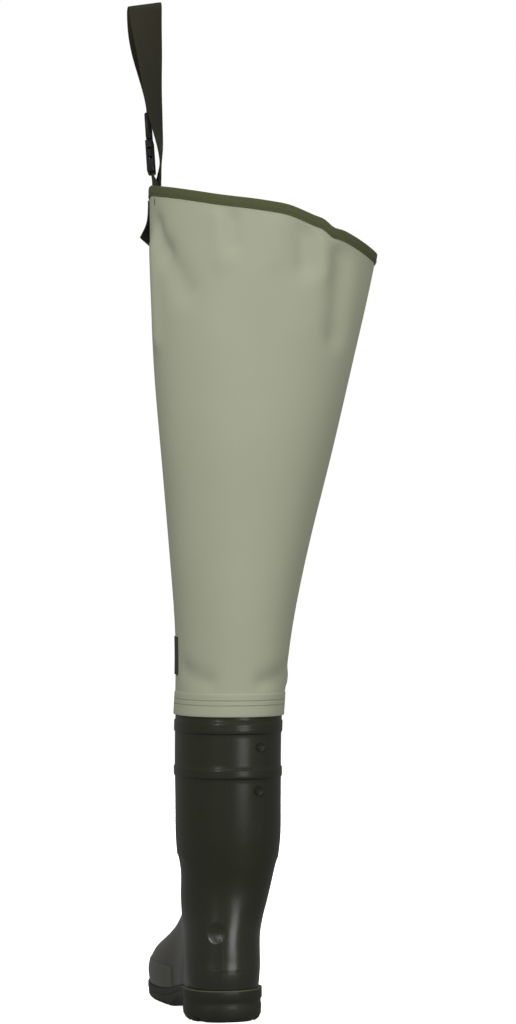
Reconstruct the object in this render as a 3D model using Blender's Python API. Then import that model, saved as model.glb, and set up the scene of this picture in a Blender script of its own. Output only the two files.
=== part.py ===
"""Left hip wader: a moulded boot, a coated fabric leg and a belt strap with a side-release buckle.

Sizes are in millimetres and become metres as each mesh is finished. The origin lies on the floor under the
middle of the heel. The toe points along +Y, the inner side of the foot is +X, and +Z is up.
"""

import math

import bmesh
import bpy
import numpy as np

MILLIMETRE = 0.001

# Clearance between pieces that touch, and points around every closed section
FIT = 0.3
SIDES = 44
SECTION_POWER = 2.2

# Boot: wall, top edge, the panel that stands proud above the ankle, and its two raised ribs
BOOT_WALL = 2.5
BOOT_TOP = 364.0
PANEL_STEP = 1.2
RIB_HEIGHT = 1.2
RIB_FLANK = 1.5
RIBS = ((273.0, 282.0), (323.0, 334.0))

# Foot form: where heel and toe begin to round off, where they end, and the widest level above the sole
HEEL_END = -41.0
TOE_START = 185.0
TOE_END = 257.0
FOOT_POWER = 2.3
FOOT_BULGE = 14.0
FOOT_TUCK = 40.0

# Instep fillet between foot and shaft: its reach near the sole and at the ankle
FILLET_LOW = 4.0
FILLET_HIGH = 34.0
FILLET_START = 75.0
FILLET_SPAN = 60.0

# Leg fabric and its hem over the boot
LEG_WALL = 1.2
LEG_SEAT = PANEL_STEP + 0.4
HEM_BOTTOM = 341.0
HEM_TOP = 367.0
HEM_STEP = 0.8

# Tape folded over the collar's edge
TAPE_THICK = 1.0
TAPE_HEIGHT = 10.5

# Sole rim, insole and the grooves between the lugs
SOLE_RIM = 2.0
INSOLE_THICK = 4.0
INSOLE_GAP = 3.1
GROOVE_WIDTH = 7.0
GROOVE_DEPTH = 5.0
HEEL_GROOVES = (-24.0, -8.0, 8.0, 24.0)
FOREFOOT_GROOVES = (118.0, 136.0, 154.0, 172.0, 190.0, 208.0)

# Webbing and buckle
WEBBING_WIDTH = 38.0
WEBBING_THICK = 1.6
LOOP_STEPS = 8
LOOP_RISE = 0.16
BUCKLE_SEAM = (-75.2, 40.0, 990.0)
BUCKLE_TURN = 12.0
BUCKLE_TILT = 3.7
SOCKET_SIZE = (9.0, 50.0, 37.0)
TONGUE_SIZE = (7.0, 46.0, 30.0)
BUCKLE_ROUND = 2.0
BUCKLE_PLAY = 0.5
ARM_THICK = 3.6
SLOT_THICK = 3.2
SLOT_WIDTH = 40.0
SLOT_DEPTH = 9.0

# Plain patch low on the leg's outer side
PATCH_THICK = 0.8
PATCH_GAP = 0.55
PATCH_BOTTOM = 386.0
PATCH_TOP = 429.0
PATCH_BACK = 24.0
PATCH_FRONT = 66.0


class Table:
    """Rows of sizes under named columns, read as smooth curves along the first column."""

    def __init__(self, names, rows):
        self.names = names
        self.rows = np.array(rows, dtype=float)

    def column(self, name):
        """All values of one column."""
        return self.rows[:, self.names.index(name)]

    def at(self, name, place):
        """Smooth value of one column at a place on the first column."""
        keys = self.rows[:, 0]
        values = self.column(name)
        slopes = np.gradient(values, keys)
        place = np.clip(place, keys[0], keys[-1])
        low = np.clip(np.searchsorted(keys, place) - 1, 0, len(keys) - 2)
        span = keys[low + 1] - keys[low]
        t = (place - keys[low]) / span
        start = values[low] + (values[low + 1] - values[low]) * (3 * t**2 - 2 * t**3)
        bend = slopes[low] * (t**3 - 2 * t**2 + t) + slopes[low + 1] * (t**3 - t**2)
        return start + bend * span

    def straight(self, name, place):
        """Value of one column with straight runs between its rows."""
        return np.interp(place, self.rows[:, 0], self.column(name))


# Shaft and leg: a level section for each height above the floor
SHAFT = Table(("height", "centre_x", "centre_y", "half_width", "half_depth"), (
    (15.0, 1.0, 4.0, 41.0, 41.0),
    (60.0, 2.0, 5.0, 43.4, 45.5),
    (97.0, 2.9, 12.0, 42.6, 50.0),
    (136.0, 8.3, 21.0, 48.3, 55.0),
    (163.0, 11.2, 23.5, 52.0, 58.5),
    (190.0, 12.4, 25.0, 57.0, 64.0),
    (240.0, 12.8, 27.0, 57.8, 68.5),
    (338.0, 13.8, 29.0, 58.3, 70.0),
    (371.0, 15.9, 29.5, 58.6, 70.0),
    (418.0, 18.7, 30.0, 60.8, 71.0),
    (525.0, 25.5, 31.0, 75.1, 77.0),
    (633.0, 34.9, 32.0, 93.6, 84.0),
    (740.0, 43.3, 33.5, 111.0, 90.5),
    (848.0, 54.3, 35.0, 125.2, 97.0),
    (940.0, 62.0, 35.0, 133.8, 101.0),
))

# Collar: height of its edge for each angle round the leg from the strap's side, in degrees
COLLAR = Table(("angle", "height"), (
    (0.0, 938.5),
    (30.0, 931.5),
    (45.0, 926.5),
    (60.0, 920.8),
    (75.0, 916.8),
    (90.0, 911.0),
    (120.0, 885.5),
    (150.0, 865.5),
    (180.0, 861.5),
))

# Foot form: plan centre, half width and top line for each place along the foot
FOOT = Table(("along", "centre_x", "half_width", "top"), (
    (-41.0, 0.0, 40.0, 80.0),
    (0.0, 0.0, 40.0, 96.0),
    (40.0, 1.0, 38.5, 132.0),
    (60.0, 1.8, 38.5, 150.0),
    (80.0, 2.6, 40.0, 145.0),
    (100.0, 3.2, 43.4, 124.0),
    (120.0, 3.3, 47.7, 107.0),
    (140.0, 3.4, 51.3, 95.5),
    (165.0, 3.4, 53.6, 85.0),
    (200.0, 4.4, 52.6, 74.0),
    (230.0, 7.7, 48.8, 66.0),
    (257.0, 10.5, 44.5, 56.0),
))

# Sole: tread and top line for each place along the foot, with heel breast, waist and toe spring
SOLE = Table(("along", "tread", "top"), (
    (-46.0, 3.0, 36.0),
    (-36.0, 0.0, 36.0),
    (10.0, 0.0, 35.6),
    (38.0, 0.0, 33.4),
    (43.0, 16.0, 32.8),
    (68.0, 17.0, 28.6),
    (88.0, 9.0, 24.6),
    (104.0, 0.0, 21.6),
    (135.0, 0.0, 18.0),
    (165.0, 0.0, 17.0),
    (190.0, 0.6, 17.8),
    (225.0, 6.0, 22.4),
    (262.0, 15.5, 31.0),
))

# Side of the sole: share of the height from tread to top, and how far it stands outside the upper
SOLE_SIDE = Table(("share", "rim"), (
    (0.00, -3.6),
    (0.07, -0.8),
    (0.18, 1.0),
    (0.46, 1.4),
    (0.52, 0.7),
    (0.62, 0.7),
    (0.68, SOLE_RIM),
    (1.00, SOLE_RIM),
))

# Cutting surfaces fanned over the foot: height at the heel's back and rise per millimetre forward
FOOT_FAN = Table(("row", "back", "rise"), (
    (0, 36.5, 0.0),
    (2, 46.0, 0.05),
    (5, 62.0, 0.16),
    (8, 82.0, 0.37),
    (10, 102.0, 0.54),
    (12, 132.0, 0.35),
    (14, 155.0, 0.18),
    (15, 173.0, 0.10),
    (16, 175.0, 0.10),
))
FAN_ROWS = 17
FAN_LEVELS_OUT = 6
SHAFT_ROWS = (205.0, 228.0, 250.0, 303.0, 350.0, BOOT_TOP)
BOOT_INNER_FAN = (0, 1, 3, 5, 7, 9, 11, 13, 15)
BOOT_INNER_ROWS = (228.0, 270.0, 318.0, BOOT_TOP)

# Strap strands: place and turn of the webbing at each height, 0 facing the side and 90 facing the back
BACK_STRAND = Table(("height", "x", "y", "turn"), (
    (911.0, -66.2, 38.0, 0.0),
    (937.0, -66.1, 37.5, 0.5),
    (947.0, -65.6, 36.0, 2.0),
    (967.0, -63.8, 31.0, 12.0),
    (1007.0, -70.3, 22.0, 30.0),
    (1047.0, -75.2, 22.0, 43.0),
    (1088.0, -77.8, 26.0, 58.0),
    (1124.0, -80.8, 30.0, 78.0),
    (1137.0, -81.5, 31.0, 90.0),
))
BUCKLE_STRAND = Table(("height", "x", "y", "turn"), (
    (1012.5, -76.7, 40.0, 12.0),
    (1024.5, -77.4, 40.5, 12.0),
    (1057.0, -79.6, 46.0, 27.0),
    (1088.0, -80.8, 48.0, 52.0),
    (1124.0, -81.3, 47.0, 82.0),
    (1137.0, -81.5, 45.0, 90.0),
))
FOOT_STRAND = Table(("height", "x", "y", "turn"), (
    (911.0, -68.5, 38.0, 0.0),
    (934.0, -68.5, 38.0, 0.0),
    (941.0, -68.7, 38.0, 1.0),
    (947.0, -70.6, 39.0, 7.0),
    (953.0, -72.8, 40.0, 12.0),
    (959.5, -73.2, 40.0, 12.0),
))

# Loose tail: its middle at each fold, its turn about the upright axis and the dip of its outer edge
TAIL = Table(("height", "x", "y", "turn", "dip"), (
    (874.0, -64.0, 94.5, 60.0, -32.0),
    (885.5, -61.0, 95.5, 48.0, -18.0),
    (899.0, -58.4, 95.2, 41.0, -4.0),
    (912.0, -57.6, 94.7, 39.0, 0.0),
    (926.5, -57.5, 94.65, 39.0, 0.0),
))

# Finishes: colour, roughness and metallic value
FINISHES = {
    "boot_pvc": ((0.020, 0.021, 0.015, 1.0), 0.32, 0.0),
    "sole_pvc": ((0.016, 0.017, 0.012, 1.0), 0.45, 0.0),
    "insole_felt": ((0.05, 0.05, 0.045, 1.0), 0.95, 0.0),
    "leg_fabric": ((0.30, 0.31, 0.22, 1.0), 0.75, 0.0),
    "binding_tape": ((0.075, 0.085, 0.033, 1.0), 0.85, 0.0),
    "webbing": ((0.035, 0.034, 0.021, 1.0), 0.85, 0.0),
    "buckle_plastic": ((0.008, 0.008, 0.008, 1.0), 0.4, 0.0),
    "patch_plain": ((0.03, 0.032, 0.022, 1.0), 0.6, 0.0),
}


def clear_scene():
    """Start from an empty scene."""
    for thing in list(bpy.data.objects):
        bpy.data.objects.remove(thing)


def finish_material(name):
    """Principled material of one of the named finishes, made once."""
    found = bpy.data.materials.get(name)
    if found:
        return found
    colour, roughness, metallic = FINISHES[name]
    material = bpy.data.materials.new(name)
    material.use_nodes = True
    shader = material.node_tree.nodes["Principled BSDF"]
    shader.inputs["Base Color"].default_value = colour
    shader.inputs["Roughness"].default_value = roughness
    shader.inputs["Metallic"].default_value = metallic
    material.diffuse_color = colour
    return material


def place_object(name, bm, finish):
    """Turn a bmesh in millimetres into a named object in metres."""
    bmesh.ops.recalc_face_normals(bm, faces=bm.faces)
    bmesh.ops.scale(bm, vec=(MILLIMETRE,) * 3, verts=bm.verts)
    mesh = bpy.data.meshes.new(name)
    bm.to_mesh(mesh)
    bm.free()
    mesh.shade_smooth()
    mesh.set_sharp_from_angle(angle=math.radians(40))
    mesh.materials.append(finish_material(finish))
    placed = bpy.data.objects.new(name, mesh)
    bpy.context.scene.collection.objects.link(placed)
    return placed


def first_ring(bm, points):
    """Closed loop of vertices and edges through the given points."""
    ring = [bm.verts.new(point) for point in points]
    for place, vertex in enumerate(ring):
        bm.edges.new((ring[place - 1], vertex))
    return ring


def next_ring(bm, ring, points):
    """Extrude a closed loop of vertices and move the new loop to the given points."""
    edges = [bm.edges.get((ring[place - 1], vertex)) for place, vertex in enumerate(ring)]
    fresh = {part for part in bmesh.ops.extrude_edge_only(bm, edges=edges)["geom"]
             if isinstance(part, bmesh.types.BMVert)}
    moved = []
    for vertex, point in zip(ring, points):
        partner = next(edge.other_vert(vertex) for edge in vertex.link_edges if edge.other_vert(vertex) in fresh)
        partner.co = point
        moved.append(partner)
    return moved


def loft(bm, rings):
    """Skin closed loops of equal count one after another; gives the first and the last loop."""
    start = first_ring(bm, rings[0])
    last = start
    for points in rings[1:]:
        last = next_ring(bm, last, points)
    return start, last


def wall_tube(name, outer_rings, inner_rings, finish):
    """Hollow wall between outer loops and inner loops, both given from bottom to top, open at both ends."""
    bm = bmesh.new()
    start, last = loft(bm, outer_rings + inner_rings[::-1])
    for place in range(len(start)):
        bm.faces.new((start[place - 1], start[place], last[place], last[place - 1]))
    return place_object(name, bm, finish)


def shaft_form(x, y, z):
    """1 on the surface of heel, ankle and shaft, less inside."""
    across = (x - SHAFT.at("centre_x", z)) / SHAFT.at("half_width", z)
    along = (y - SHAFT.at("centre_y", z)) / SHAFT.at("half_depth", z)
    return (abs(across) ** SECTION_POWER + abs(along) ** SECTION_POWER) ** (1.0 / SECTION_POWER)


def foot_form(x, y, z):
    """1 on the surface of the foot from heel to toe, less inside."""
    sole_top = SOLE.at("top", y)
    level = z - sole_top - FOOT_BULGE
    rise = FOOT.at("top", y) - sole_top - FOOT_BULGE
    upward = np.where(level > 0, level / rise, level / FOOT_TUCK)
    across = (x - FOOT.at("centre_x", y)) / FOOT.at("half_width", y)
    toe = np.maximum(y - TOE_START, 0.0) / (TOE_END - TOE_START)
    heel = np.minimum(y, 0.0) / HEEL_END
    return sum(abs(share) ** FOOT_POWER for share in (across, upward, toe, heel)) ** (1.0 / FOOT_POWER)


def distance_to(form, x, y, z):
    """Distance outside a form, near its surface."""
    step = 0.5
    slope = np.sqrt(
        (form(x + step, y, z) - form(x - step, y, z)) ** 2
        + (form(x, y + step, z) - form(x, y - step, z)) ** 2
        + (form(x, y, z + step) - form(x, y, z - step)) ** 2
    ) / (2 * step)
    return (form(x, y, z) - 1.0) / np.maximum(slope, 0.002)


def boot_distance(x, y, z):
    """Distance outside the whole boot: foot and shaft joined by the instep's fillet."""
    foot = distance_to(foot_form, x, y, z)
    shaft = distance_to(shaft_form, x, y, z)
    share = np.clip((z - FILLET_START) / FILLET_SPAN, 0.0, 1.0)
    fillet = FILLET_LOW + (FILLET_HIGH - FILLET_LOW) * share
    overlap = np.maximum(fillet - abs(foot - shaft), 0.0) / fillet
    return np.minimum(foot, shaft) - overlap**2 * fillet / 4.0


def cast(origins, headings, surface, level):
    """How far along flat headings the boot reaches a level outside itself, on a cutting surface."""
    stride = 3.0
    reach = np.arange(0.0, 330.0, stride)
    headings = np.asarray(headings, dtype=float)
    origins = np.broadcast_to(np.asarray(origins, dtype=float), headings.shape)

    def outside(length):
        x = origins[:, :1] + headings[:, :1] * length
        y = origins[:, 1:] + headings[:, 1:] * length
        return boot_distance(x, y, surface(y)) > level

    high = reach[outside(reach[None, :]).argmax(axis=1)][:, None]
    low = high - stride
    for _ in range(22):
        middle = (low + high) / 2.0
        beyond = outside(middle)
        high = np.where(beyond, middle, high)
        low = np.where(beyond, low, middle)
    return high[:, 0]


def boot_ring(surface, level):
    """Closed loop around the boot on a cutting surface, at a level outside its base form."""
    x, y = 6.0, 25.0
    front, back = cast((x, y), ((0, 1), (0, -1)), surface, level)
    half_length = (front + back) / 2.0
    y += (front - back) / 2.0
    inner, outer = cast((x, y), ((1, 0), (-1, 0)), surface, level)
    half_width = (inner + outer) / 2.0
    x += (inner - outer) / 2.0
    angles = np.arange(SIDES) * 2.0 * math.pi / SIDES
    headings = np.stack((half_width * np.cos(angles), half_length * np.sin(angles)), axis=1)
    headings /= np.linalg.norm(headings, axis=1)[:, None]
    reach = cast((x, y), headings, surface, level)
    along = y + headings[:, 1] * reach
    return np.stack((x + headings[:, 0] * reach, along, surface(along)), axis=1)


def fan_surface(row):
    """Cutting surface over the foot that follows the sole near it and levels out towards the shaft."""
    back = float(FOOT_FAN.at("back", row))
    rise = float(FOOT_FAN.at("rise", row))
    follow = max(0.0, 1.0 - max(0.0, row - FAN_LEVELS_OUT) / FAN_LEVELS_OUT)
    heel_top = float(SOLE.at("top", HEEL_END))

    def surface(along):
        return back + rise * (along - HEEL_END) + follow * (SOLE.at("top", along) - heel_top)

    return surface


def level_surface(height):
    """Level cutting surface."""
    return lambda along: height + along * 0.0


def shaft_levels():
    """Heights and reliefs of the shaft's rows, with both ribs as steps."""
    rows = [(height, 0.0) for height in SHAFT_ROWS]
    for low, high in RIBS:
        rows += [(low - RIB_FLANK, 0.0), (low, RIB_HEIGHT), (high, RIB_HEIGHT), (high + RIB_FLANK, 0.0)]
    return sorted(rows)


def build_boot_upper():
    """Hollow foot and shaft in one moulding."""
    outer = []
    for row in range(FAN_ROWS):
        outer.append(boot_ring(fan_surface(row), PANEL_STEP if row == FAN_ROWS - 1 else 0.0))
    for height, relief in shaft_levels():
        outer.append(boot_ring(level_surface(height), PANEL_STEP + relief))
    inner = [boot_ring(fan_surface(row), -BOOT_WALL) for row in BOOT_INNER_FAN]
    for height in BOOT_INNER_ROWS:
        inner.append(boot_ring(level_surface(height), PANEL_STEP - BOOT_WALL))
    return wall_tube("boot_upper", outer, inner, "boot_pvc")


def sole_stations():
    """Shares of the sole's length, close together at heel, toe and the heel's breast."""
    swing = np.radians(np.linspace(5.0, 175.0, 30))
    shares = list((1.0 - np.cos(swing)) / 2.0)
    breast = [(edge - HEEL_END) / (TOE_END - HEEL_END) for edge in (38.0, 43.0, 104.0, 195.0)]
    return np.array(sorted(shares + breast))


def sole_ring(level, height_at):
    """Loop around the sole at a level outside the upper: outer side to the toe, inner side back to the heel."""
    surface = fan_surface(0)
    front, back = cast((4.0, 100.0), ((0, 1), (0, -1)), surface, level)
    along = 100.0 - back + (front + back) * sole_stations()
    middle = FOOT.at("centre_x", along)
    sides = []
    for heading in (-1.0, 1.0):
        headings = np.stack((along * 0.0 + heading, along * 0.0), axis=1)
        reach = cast(np.stack((middle, along), axis=1), headings, surface, level)
        sides.append(np.stack((middle + heading * reach, along, height_at(along)), axis=1))
    return np.concatenate((sides[0], sides[1][::-1]))


def cap_ladder(bm, ring):
    """Close a sole loop with strips from its outer to its inner side."""
    count = len(ring) // 2
    for place in range(count - 1):
        bm.faces.new((ring[place], ring[place + 1], ring[-2 - place], ring[-1 - place]))


def sole_plate(name, rings, finish):
    """Closed plate with the sole's outline, skinned from its lowest loop to its highest."""
    bm = bmesh.new()
    lowest, highest = loft(bm, rings)
    cap_ladder(bm, lowest)
    cap_ladder(bm, highest)
    return place_object(name, bm, finish)


def build_outsole():
    """Heel, waist, forefoot and toe spring in one moulding, with grooves between its lugs."""
    rings = []
    for share, rim in SOLE_SIDE.rows:
        rings.append(sole_ring(rim, lambda along, share=share: (
            SOLE.straight("tread", along) * (1.0 - share) + SOLE.at("top", along) * share)))
    outsole = sole_plate("outsole", rings, "sole_pvc")
    bm = bmesh.new()
    for along in HEEL_GROOVES + FOREFOOT_GROOVES:
        add_box(bm, (200.0, GROOVE_WIDTH, 2 * GROOVE_DEPTH), (0.0, along, float(SOLE.straight("tread", along))))
    cut_with(outsole, "groove_cutter", bm)
    return outsole


def build_insole():
    """Flat liner that lies on the sole inside the upper."""
    level = -BOOT_WALL - INSOLE_GAP
    rings = []
    for lift in (FIT, FIT + INSOLE_THICK):
        rings.append(sole_ring(level, lambda along, lift=lift: SOLE.at("top", along) + lift))
    return sole_plate("insole", rings, "insole_felt")


def section_point(angle, height, grow):
    """Point on the leg at an angle around it, standing off its base form by grow."""
    cosine, sine = np.cos(angle), np.sin(angle)
    size = (abs(cosine) ** SECTION_POWER + abs(sine) ** SECTION_POWER) ** (1.0 / SECTION_POWER)
    x = SHAFT.at("centre_x", height) + (SHAFT.at("half_width", height) + grow) * cosine / size
    y = SHAFT.at("centre_y", height) + (SHAFT.at("half_depth", height) + grow) * sine / size
    return np.stack((x, y, height + angle * 0.0), axis=-1)


def collar_height(angle):
    """Height of the collar's edge: it peaks at the strap and falls away towards the inner side."""
    return COLLAR.at("height", np.degrees(np.arccos(-np.cos(angle))))


def ring_angles():
    """Angles of the points around the leg."""
    return np.arange(SIDES) * 2.0 * math.pi / SIDES


def leg_ring(share, grow):
    """Loop around the leg at a share of its height from the hem's top to the collar."""
    angle = ring_angles()
    return section_point(angle, HEM_TOP + (collar_height(angle) - HEM_TOP) * share, grow)


def build_leg():
    """Coated fabric tube with a thicker welded hem over the boot and a slanted collar."""
    outside = LEG_SEAT + LEG_WALL
    angle = ring_angles()
    outer = []
    for height, step in ((HEM_BOTTOM, HEM_STEP), (HEM_TOP - 1.0, HEM_STEP), (HEM_TOP, 0.0)):
        outer.append(section_point(angle, height + angle * 0.0, outside + step))
    outer += [leg_ring(share, outside) for share in np.linspace(0.0, 1.0, 14)[1:]]
    inner = [section_point(angle, HEM_BOTTOM + angle * 0.0, LEG_SEAT)]
    inner += [leg_ring(share, LEG_SEAT) for share in np.linspace(0.0, 1.0, 14)]
    return wall_tube("leg", outer, inner, "leg_fabric")


def build_collar_binding():
    """Tape folded over the collar's edge."""
    angle = ring_angles()
    edge = collar_height(angle)
    out_near = LEG_SEAT + LEG_WALL + FIT
    in_near = LEG_SEAT - FIT
    profile = (
        (out_near, -TAPE_HEIGHT),
        (out_near + TAPE_THICK, -TAPE_HEIGHT),
        (out_near + TAPE_THICK, FIT),
        (out_near, FIT + TAPE_THICK),
        (in_near, FIT + TAPE_THICK),
        (in_near - TAPE_THICK, FIT),
        (in_near - TAPE_THICK, -TAPE_HEIGHT),
        (in_near, -TAPE_HEIGHT),
        (in_near, FIT),
        (out_near, FIT),
    )
    rings = [section_point(angle, edge + lift, grow) for grow, lift in profile]
    bm = bmesh.new()
    start, last = loft(bm, rings)
    for place in range(SIDES):
        bm.faces.new((start[place - 1], start[place], last[place], last[place - 1]))
    return place_object("collar_binding", bm, "binding_tape")


def build_side_patch():
    """Plain patch that lies on the leg's outer side."""
    heights = np.linspace(PATCH_BOTTOM, PATCH_TOP, 5)
    along = np.linspace(PATCH_BACK, PATCH_FRONT, 9)
    near = LEG_SEAT + LEG_WALL + PATCH_GAP
    bm = bmesh.new()
    rings = []
    for height in heights:
        depth = SHAFT.at("half_depth", height)
        angle = math.pi - np.arcsin((along - SHAFT.at("centre_y", height)) / depth)
        lower = section_point(angle, height + angle * 0.0, near)
        upper = section_point(angle, height + angle * 0.0, near + PATCH_THICK)
        rings.append(np.concatenate((lower, upper[::-1])))
    lowest, highest = loft(bm, rings)
    cap_ladder(bm, lowest)
    cap_ladder(bm, highest)
    return place_object("side_patch", bm, "patch_plain")


def ribbon_ring(middle, across, facing):
    """Four corners of the webbing around its middle."""
    side = np.asarray(across) * WEBBING_WIDTH / 2.0
    out = np.asarray(facing) * WEBBING_THICK / 2.0
    middle = np.asarray(middle)
    return [middle - side - out, middle + side - out, middle + side + out, middle - side + out]


def build_ribbon(name, rings):
    """Closed strip of webbing through its cross-sections."""
    bm = bmesh.new()
    start, last = loft(bm, rings)
    bm.faces.new(start)
    bm.faces.new(last)
    return place_object(name, bm, "webbing")


def strand_ring(strand, height):
    """Cross-section of a strand at a height, turned about the upright axis."""
    turn = math.radians(float(strand.at("turn", height)))
    middle = (float(strand.at("x", height)), float(strand.at("y", height)), height)
    share = max(0.0, math.sin(turn)) ** 3 * LOOP_RISE
    across = np.array((math.sin(turn), math.cos(turn), share))
    across /= np.linalg.norm(across)
    facing = (math.cos(turn), -math.sin(turn), 0.0)
    return ribbon_ring(middle, across, facing)


def build_belt_strap():
    """Webbing that rises from the collar, turns over at the top and comes down to the buckle's tongue."""
    up = np.linspace(BACK_STRAND.rows[0, 0], BACK_STRAND.rows[-1, 0], 15)
    rings = [strand_ring(BACK_STRAND, height) for height in up]
    top_height = BACK_STRAND.rows[-1, 0]
    near = BACK_STRAND.rows[-1, 1:3]
    far = BUCKLE_STRAND.rows[-1, 1:3]
    radius = (far[1] - near[1]) / 2.0
    across = np.array((1.0, 0.0, LOOP_RISE))
    across /= np.linalg.norm(across)
    for step in range(1, LOOP_STEPS):
        swing = math.pi * step / LOOP_STEPS
        middle = (near[0], near[1] + radius * (1.0 - math.cos(swing)), top_height + radius * math.sin(swing))
        rings.append(ribbon_ring(middle, across, (0.0, -math.cos(swing), math.sin(swing))))
    down = np.linspace(BUCKLE_STRAND.rows[-1, 0], BUCKLE_STRAND.rows[0, 0], 10)
    for height in down:
        corners = strand_ring(BUCKLE_STRAND, height)
        rings.append([corners[3], corners[2], corners[1], corners[0]])
    return build_ribbon("belt_strap", rings)


def build_strap_foot():
    """Short webbing from inside the collar up into the buckle's socket."""
    heights = np.linspace(FOOT_STRAND.rows[0, 0], FOOT_STRAND.rows[-1, 0], 9)
    return build_ribbon("strap_foot", [strand_ring(FOOT_STRAND, height) for height in heights])


def build_strap_tail():
    """Loose square-cut end of webbing that flares away from the leg."""
    rings = []
    for height in np.linspace(TAIL.rows[0, 0], TAIL.rows[-1, 0], 7):
        turn = math.radians(float(TAIL.at("turn", height)))
        dip = math.radians(float(TAIL.at("dip", height)))
        across = (math.sin(turn) * math.cos(dip), math.cos(turn) * math.cos(dip), math.sin(dip))
        facing = (math.cos(turn), -math.sin(turn), 0.0)
        middle = (float(TAIL.at("x", height)), float(TAIL.at("y", height)), height)
        rings.append(ribbon_ring(middle, across, facing))
    return build_ribbon("strap_tail", rings)


def add_box(bm, size, centre, rounding=0.0):
    """Box of a given size around a centre, its edges rounded where asked."""
    made = bmesh.ops.create_cube(bm, size=1.0)["verts"]
    bmesh.ops.scale(bm, vec=size, verts=made)
    bmesh.ops.translate(bm, vec=centre, verts=made)
    if rounding:
        edges = {edge for vertex in made for edge in vertex.link_edges}
        bmesh.ops.bevel(bm, geom=list(edges), offset=rounding, offset_type="OFFSET", affect="EDGES",
                        segments=2, profile=0.5, material=-1)


def cut_with(piece, cutter_name, bm, operation="DIFFERENCE"):
    """Cut a piece by a bmesh in the piece's own frame, or join the two with a union."""
    cutter = place_object(cutter_name, bm, "buckle_plastic")
    cutter.parent = piece
    cutter.hide_render = True
    cutter.display_type = "WIRE"
    change = piece.modifiers.new(cutter_name, "BOOLEAN")
    change.operation = operation
    change.solver = "EXACT"
    change.object = cutter


def build_buckle_socket(seam):
    """Lower half of the buckle: a sleeve with side windows and a slot for the short strap."""
    thick, width, tall = SOCKET_SIZE
    bore = ARM_THICK + 2 * BUCKLE_PLAY
    bm = bmesh.new()
    add_box(bm, SOCKET_SIZE, (0.0, 0.0, -tall / 2.0), BUCKLE_ROUND)
    socket = place_object("buckle_socket", bm, "buckle_plastic")
    socket.parent = seam
    bm = bmesh.new()
    add_box(bm, (bore, width - 9.0, 48.0), (0.0, 0.0, 0.0))
    cut_with(socket, "sleeve_cutter", bm)
    bm = bmesh.new()
    add_box(bm, (bore - 0.2, width + 10.0, 13.0), (0.0, 0.0, -15.5))
    cut_with(socket, "window_cutter", bm)
    bm = bmesh.new()
    add_box(bm, (SLOT_THICK, SLOT_WIDTH, 2 * SLOT_DEPTH), (0.0, 0.0, -tall))
    cut_with(socket, "foot_slot_cutter", bm)


def build_buckle_tongue(seam):
    """Upper half of the buckle: a head with a slot for the strap, two sprung arms and a guide."""
    thick, width, tall = TONGUE_SIZE
    bm = bmesh.new()
    add_box(bm, TONGUE_SIZE, (0.0, 0.0, FIT + tall / 2.0), BUCKLE_ROUND)
    tongue = place_object("buckle_tongue", bm, "buckle_plastic")
    tongue.parent = seam
    for name, across, wide, deep in (("outer_arm", -16.5, 6.0, 20.0), ("inner_arm", 16.5, 6.0, 20.0),
                                     ("guide", 0.0, 9.0, 17.0)):
        bm = bmesh.new()
        add_box(bm, (ARM_THICK, wide, deep + 6.0), (0.0, across, 3.0 - deep / 2.0))
        cut_with(tongue, name, bm, "UNION")
    for name, across in (("outer_catch", -20.5), ("inner_catch", 20.5)):
        bm = bmesh.new()
        add_box(bm, (ARM_THICK - 0.2, 7.0, 8.5), (0.0, across, -15.0))
        cut_with(tongue, name, bm, "UNION")
    bm = bmesh.new()
    add_box(bm, (SLOT_THICK, SLOT_WIDTH, 2 * SLOT_DEPTH), (0.0, 0.0, FIT + tall))
    cut_with(tongue, "strap_slot_cutter", bm)


def build_buckle():
    """Both halves of the fastened buckle on the empty that marks their seam."""
    seam = bpy.data.objects.new("buckle_seam", None)
    bpy.context.scene.collection.objects.link(seam)
    seam.location = [value * MILLIMETRE for value in BUCKLE_SEAM]
    seam.rotation_euler = (0.0, math.radians(-BUCKLE_TILT), math.radians(-BUCKLE_TURN))
    build_buckle_socket(seam)
    build_buckle_tongue(seam)


def main():
    """Build every piece of the wader."""
    clear_scene()
    build_outsole()
    build_boot_upper()
    build_insole()
    build_leg()
    build_collar_binding()
    build_side_patch()
    build_belt_strap()
    build_strap_foot()
    build_strap_tail()
    build_buckle()


main()
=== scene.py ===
"""Looks of the left hip wader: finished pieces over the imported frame, materials, light and camera."""

import math

import bmesh
import bpy
import numpy as np
from bpy.props import FloatProperty, FloatVectorProperty, IntProperty, PointerProperty
from mathutils import Matrix, Vector
from mathutils.bvhtree import BVHTree


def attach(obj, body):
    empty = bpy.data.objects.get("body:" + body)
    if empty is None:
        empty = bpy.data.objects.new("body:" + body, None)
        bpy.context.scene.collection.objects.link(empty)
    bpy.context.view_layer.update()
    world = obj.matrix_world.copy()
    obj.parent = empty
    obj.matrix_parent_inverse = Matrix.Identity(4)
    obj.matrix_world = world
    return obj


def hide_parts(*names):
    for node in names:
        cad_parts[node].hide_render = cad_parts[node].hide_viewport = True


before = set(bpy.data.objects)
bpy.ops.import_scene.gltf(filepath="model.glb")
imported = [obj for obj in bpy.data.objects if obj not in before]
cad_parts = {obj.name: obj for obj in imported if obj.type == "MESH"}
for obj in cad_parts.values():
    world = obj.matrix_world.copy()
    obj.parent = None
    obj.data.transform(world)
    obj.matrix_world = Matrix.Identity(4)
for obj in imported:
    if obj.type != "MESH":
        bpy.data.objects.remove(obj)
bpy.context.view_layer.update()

bl_info = {
    "name": "Hip wader looks",
    "version": (1, 0, 0),
    "blender": (4, 5, 0),
    "location": "View3D > Sidebar > Wader",
    "description": "Finishes the pieces of one hip wader and sets its light and camera",
    "category": "Object",
}

BODY = "root"

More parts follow.
